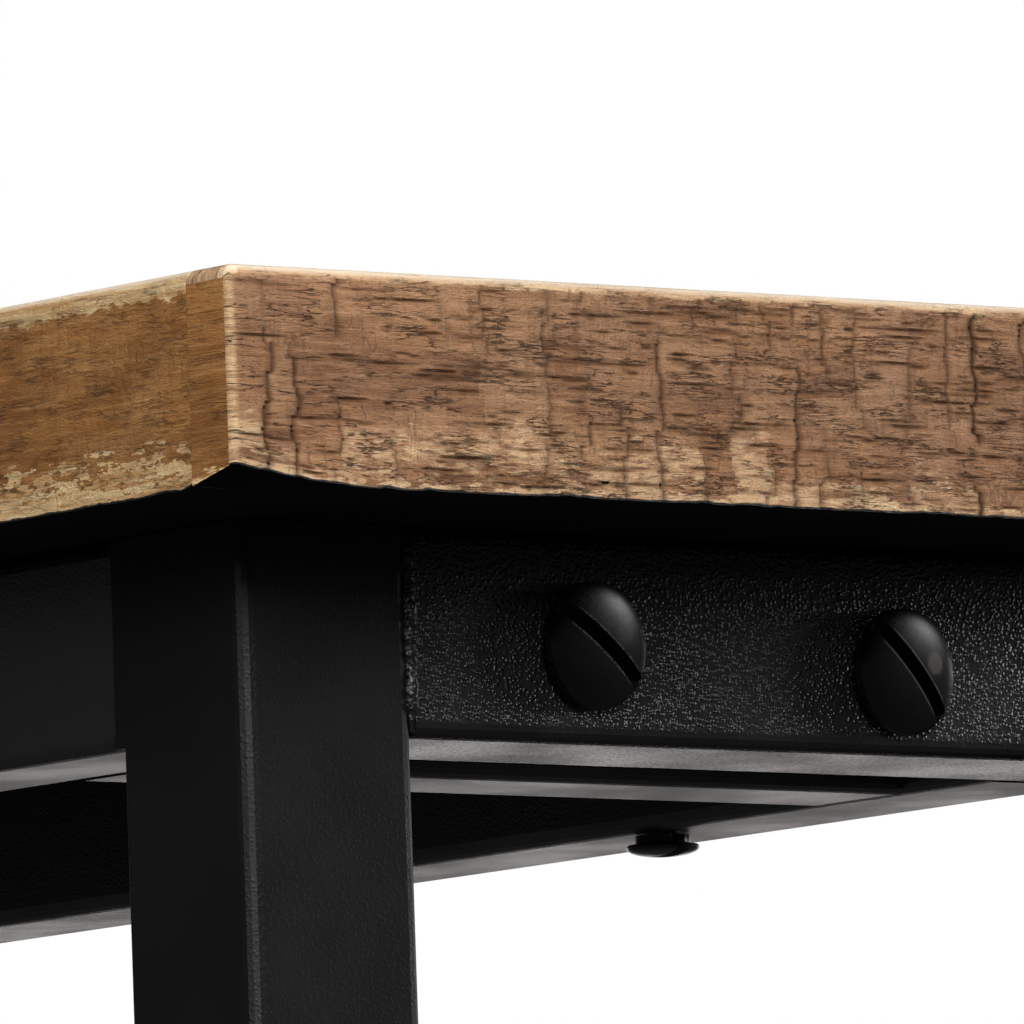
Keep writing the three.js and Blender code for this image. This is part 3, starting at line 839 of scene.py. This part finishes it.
# ---------------------------------------------------------------- welds and fasteners
def add_mesh(name, points, faces, material, smooth=True):
    """A piece from points in millimetres, riding on the frame."""
    mesh = bpy.data.meshes.new(name)
    mesh.from_pydata([Vector(p) * MM for p in points], [], faces)
    if smooth:
        mesh.shade_smooth()
    mesh.materials.append(material)
    piece = bpy.data.objects.new(name, mesh)
    bpy.context.scene.collection.objects.link(piece)
    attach(piece, BODY)
    return piece


def sweep(rings):
    """Points and faces of closed rings joined in a row, with capped ends."""
    size = len(rings[0])
    points = [point for ring in rings for point in ring]
    faces = [tuple(range(size))[::-1], tuple(range(len(points) - size, len(points)))]
    for i in range(len(rings) - 1):
        for j in range(size):
            k = (j + 1) % size
            faces.append((i * size + j, i * size + k, (i + 1) * size + k, (i + 1) * size + j))
    return points, faces


def add_bead(name, start, end, radius, material, seed):
    """A lumpy weld bead along a straight joint, thinner at its ends."""
    start, end = Vector(start), Vector(end)
    run = end - start
    along = run.normalized()
    side = along.orthogonal().normalized()
    other = along.cross(side)
    count = round(run.length / BEAD_STEP)
    at = np.linspace(0, 1, count + 1)
    ripple = noise2(at * run.length / 1.6, at * 0 + 1, seed, 2)
    rings = []
    for i, share in enumerate(at):
        taper = min(1.0, 6.0 * min(share, 1 - share) + 0.25)
        ring = []
        for j in range(12):
            angle = math.tau * j / 12
            lump = noise2(np.array([share * run.length / 0.9]), np.array([j * 1.0]), seed + 5)[0]
            reach = float(radius * taper * (0.8 + 0.3 * ripple[i] + 0.25 * (lump - 0.5)))
            spoke = math.cos(angle) * side + math.sin(angle) * other
            ring.append(start + run * float(share) + reach * spoke)
        rings.append(ring)
    points, faces = sweep(rings)
    add_mesh(name, points, faces, material)


def add_ground_weld(name, x, y, inward, material, seed):
    """Weld metal that fills a leg's rounded corner against a rail's end, ground flush with both faces."""
    rings = []
    for z in np.arange(RAIL_BOTTOM + 0.3, LEG_HI.z - 0.2, 1.0):
        wave = float(0.03 * noise2(np.array([z / 12.0]), np.array([1.0]), seed, 2)[0])
        skin = ((-1.5, 0.05), (-0.5, -0.02 - wave), (1.5, -0.04 - wave), (3.4, -0.02))
        outline = skin + ((1.2, 1.2), (0.1, 2.6))
        rings.append([Vector((x + inward * u, y + v, float(z))) for u, v in outline])
    points, faces = sweep(rings)
    add_mesh(name, points, faces, material, smooth=False)


def add_upright_bead(name, x, y, radius, material, seed):
    """A bead up the full height of a rail."""
    add_bead(name, (x, y, BEAD_LOW), (x, y, BEAD_HIGH), radius, material, seed)


def add_welds(material, ground_coat):
    """Beads where rails and tubes meet, with a ground weld beside each front leg; each has its own seed."""
    back_rail_lo, back_rail_hi = (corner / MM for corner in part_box("long_rail_back"))
    cross_lo, cross_hi = (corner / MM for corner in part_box("cross_tube_right"))
    under = RAIL_BOTTOM + 0.6
    seed = 200
    for end, sx in (("left", -1), ("right", 1)):
        face_x = sx * LEG_HI.x
        inner_x = sx * LEG_LO.x
        for side, sy in (("front", -1), ("back", 1)):
            leg_in = sy * -LEG_HI.y
            tag = f"{side}_{end}"
            add_upright_bead("weld_rail_" + tag, face_x - sx, leg_in, RAIL_BEAD, material, seed)
            add_upright_bead("weld_rail_inner_" + tag, inner_x + sx, leg_in, INNER_BEAD, material, seed + 1)
            start, stop = (face_x - sx * 5, leg_in, under), (inner_x + sx * 5, leg_in, under)
            add_bead("weld_under_" + tag, start, stop, UNDER_BEAD, material, seed + 2)
            seed += 7
        add_ground_weld("ground_weld_" + end, inner_x, LEG_LO.y, sx, ground_coat, seed)
        joint_x = sx * back_rail_hi.x
        for label, y in (("near", back_rail_lo.y), ("far", back_rail_hi.y)):
            name = f"weld_back_rail_{label}_{end}"
            add_upright_bead(name, joint_x, y, BACK_RAIL_BEAD, material, seed)
            seed += 3
        for label, x in (("outer", cross_hi.x), ("inner", cross_lo.x)):
            for side, y in (("front", cross_lo.y), ("back", cross_hi.y)):
                name = f"weld_cross_{label}_{side}_{end}"
                add_upright_bead(name, sx * x, y, CROSS_BEAD, material, seed)
                seed += 3


def turned(profile, sides):
    """Points and faces of a profile of (radius, height) pairs turned about Z, both ends on the axis."""
    points = [(0, 0, profile[0][1])]
    for radius, height in profile[1:-1]:
        for j in range(sides):
            angle = math.tau * j / sides
            points.append((radius * math.cos(angle), radius * math.sin(angle), height))
    points.append((0, 0, profile[-1][1]))
    rows = len(profile) - 2
    last = len(points) - 1
    faces = []
    for j in range(sides):
        k = (j + 1) % sides
        faces.append((0, 1 + k, 1 + j))
        for i in range(rows - 1):
            a, b = 1 + i * sides, 1 + (i + 1) * sides
            faces.append((a + j, a + k, b + k, b + j))
        top = 1 + (rows - 1) * sides
        faces.append((top + j, top + k, last))
    return points, faces


def cut_slot(piece, wide, depth, reach, top):
    """Cuts a straight screwdriver slot along the piece's own X axis."""
    shape = bmesh.new()
    bmesh.ops.create_cube(shape, size=1.0)
    cutter_mesh = bpy.data.meshes.new("slot_cutter")
    for vert in shape.verts:
        vert.co = Vector((vert.co.x * reach, vert.co.y * wide, vert.co.z * depth * 2 + top)) * MM
    shape.to_mesh(cutter_mesh)
    shape.free()
    cutter = bpy.data.objects.new("slot_cutter", cutter_mesh)
    bpy.context.scene.collection.objects.link(cutter)
    cutter.matrix_world = piece.matrix_world.copy()
    cut = piece.modifiers.new("slot", "BOOLEAN")
    cut.operation = "DIFFERENCE"
    cut.solver = "EXACT"
    cut.object = cutter
    bpy.context.view_layer.update()
    ready = piece.evaluated_get(bpy.context.evaluated_depsgraph_get())
    mesh = bpy.data.meshes.new_from_object(ready)
    piece.modifiers.clear()
    old = piece.data
    piece.data = mesh
    bpy.data.meshes.remove(old)
    bpy.data.objects.remove(cutter)
    bpy.data.meshes.remove(cutter_mesh)


def add_dome_bolt(node, slot_angle, tilt, proud, material):
    """A slotted dome head in place of a CAD bolt's, on a straight shank."""
    low, high = (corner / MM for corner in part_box(node))
    outward = 1 if high.x > 0 else -1
    seat = (high.x if outward > 0 else -low.x) - HEAD_HIGH
    middle = (low + high) / 2
    shank = (high.x - low.x) - HEAD_HIGH
    profile = [(0, -0.2), (HEAD_R - 0.5, -0.2), (HEAD_R, 0.3), (HEAD_R, HEAD_EDGE)]
    steps = 22
    for i in range(1, steps):
        angle = math.pi / 2 * i / steps
        rise = HEAD_EDGE + (HEAD_HIGH - HEAD_EDGE) * math.sin(angle)
        profile.append((HEAD_R * math.cos(angle), rise))
    profile.append((0, HEAD_HIGH))
    points, faces = turned(profile, 72)
    head = add_mesh("head_" + node, points, faces, material)
    axis = Vector((outward * math.cos(tilt), math.sin(tilt), 0))
    turn = axis.to_track_quat("Z", "Y").to_matrix().to_4x4()
    place = Matrix.Translation(Vector((outward * (seat + proud), middle.y, middle.z)) * MM)
    head.matrix_world = place @ turn @ Matrix.Rotation(slot_angle, 4, "Z")
    bpy.context.view_layer.update()
    cut_slot(head, SLOT_WIDE, SLOT_DEEP, HEAD_R * 3, HEAD_HIGH)
    head.data.shade_smooth()
    head.data.set_sharp_from_angle(angle=math.radians(35))

    profile = [(0, -shank), (SHANK_R - SHANK_BEVEL, -shank), (SHANK_R, -shank + SHANK_BEVEL)]
    profile += [(SHANK_R, 1.0), (0, 1.0)]
    points, faces = turned(profile, 32)
    rod = add_mesh("shank_" + node, points, faces, material)
    straight = Vector((outward, 0, 0)).to_track_quat("Z", "Y").to_matrix().to_4x4()
    rod.matrix_world = Matrix.Translation(Vector((outward * seat, middle.y, middle.z)) * MM) @ straight
    rod.data.set_sharp_from_angle(angle=math.radians(35))
    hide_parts(node)
    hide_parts(node)


def add_dome_bolts(material, worn):
    """The frame bolts, whose heads sit a little askew and proud, and the stretcher's bolts."""
    for label, angle in SLOT_ANGLES.items():
        tilt = HEAD_TILT if label.startswith("right") else HEAD_TILT / 5
        # worn is the lacquer with more slot wear and a strong painted highlight, used on the right back head
        finish = worn if label == "right_back" else material
        add_dome_bolt("frame_bolt_" + label, angle, tilt, HEAD_PROUD, finish)
    for end in ("left", "right"):
        add_dome_bolt("stretcher_bolt_" + end, slot_angle=0.6, tilt=0.0, proud=0.1, material=material)


def add_board_screws(material):
    """Mushroom heads on a neck below the long rails, their shanks in the boards."""
    for side in ("front", "back"):
        for where in ("left", "middle", "right"):
            node = f"board_screw_{side}_{where}"
            low, high = (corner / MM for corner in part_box(node))
            middle = (low + high) / 2
            tall = high.z - low.z
            profile = [(0, 0)]
            for i in range(1, 10):
                angle = math.pi / 2 * i / 10
                rise = SCREW_DOME_HIGH * (1 - math.cos(angle))
                profile.append((SCREW_HEAD_R * math.sin(angle), rise))
            profile += [(SCREW_HEAD_R, SCREW_DOME_HIGH + 0.1), (SCREW_HEAD_R - 0.3, SCREW_HEAD_HIGH - 0.05)]
            profile += [(SCREW_NECK_R + 0.3, SCREW_HEAD_HIGH), (SCREW_NECK_R, SCREW_HEAD_HIGH + 0.3)]
            profile += [(SCREW_NECK_R, SCREW_NECK_TOP), (SCREW_SHANK_R, SCREW_NECK_TOP)]
            profile += [(SCREW_SHANK_R, tall - SCREW_TIP), (0, tall)]
            points, faces = turned(profile, 48)
            screw = add_mesh("screw_" + node, points, faces, material)
            screw.matrix_world = Matrix.Translation(Vector((middle.x, middle.y, low.z)) * MM)
            bpy.context.view_layer.update()
            screw.data.set_sharp_from_angle(angle=math.radians(40))
            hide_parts(node)


add_camera()
add_stage()

plank_tones = ((0.220, 0.082, 0.016), (0.375, 0.162, 0.040), (0.530, 0.280, 0.100), (0.90, 0.68, 0.37))
end_tones = ((0.165, 0.066, 0.022), (0.320, 0.146, 0.060), (0.520, 0.290, 0.150), (0.82, 0.58, 0.33))
wood_plank = rough_sawn("rough_sawn_plank", plank_tones, band=9.0, strip=5.2, low_reach=9.0, splits=0.55)
wood_end = rough_sawn("rough_sawn_end_board", end_tones, band=4.2, strip=1.2, low_reach=26.0, splits=1.0)
wood_cap = rough_sawn(
    "rough_sawn_cap", plank_tones, band=4.0, strip=2.0, low_reach=9.0, splits=0.5, is_cap=True
)
coat_rail = powder_coat("powder_coat_pebbled", pebble=1.0, roughness=0.38, shine=0.45)
coat_leg = powder_coat("powder_coat_leg", pebble=0.18, roughness=0.50, shine=0.22)
coat_smooth = powder_coat("powder_coat_smooth", pebble=0.18, roughness=0.42, shine=0.90)
lacquer = black_lacquer("black_lacquer", scuff_and_glint=0.15)
# A lacquer with heavy slot wear and a strong painted highlight on the dome, for one head
lacquer_worn_glint = black_lacquer("black_lacquer_worn_glint", scuff_and_glint=1.0)
plate = zinc()
plastic = black_plastic()
paint = underside_paint()
add_end_boards(wood_end, paint, wood_cap)
add_planks(wood_plank, paint, wood_cap)
add_welds(coat_rail, coat_leg)
add_dome_bolts(lacquer, lacquer_worn_glint)
add_board_screws(lacquer)
share_light()

# The CAD pieces that stay in view, by the start of their names
FINISHES = (
    (("leg", "end_stretcher", "long_stretcher"), coat_leg),
    (("long_rail", "cross_tube"), coat_smooth),
    (("end_rail",), coat_rail),
    (("frame_nut", "frame_washer"), plate),
    (("foot", "stretcher_plug"), plastic),
)
for name, node in frame["nodes"].items():
    for starts, material in FINISHES:
        if name.startswith(starts):
            node.data.materials.clear()
            node.data.materials.append(material)
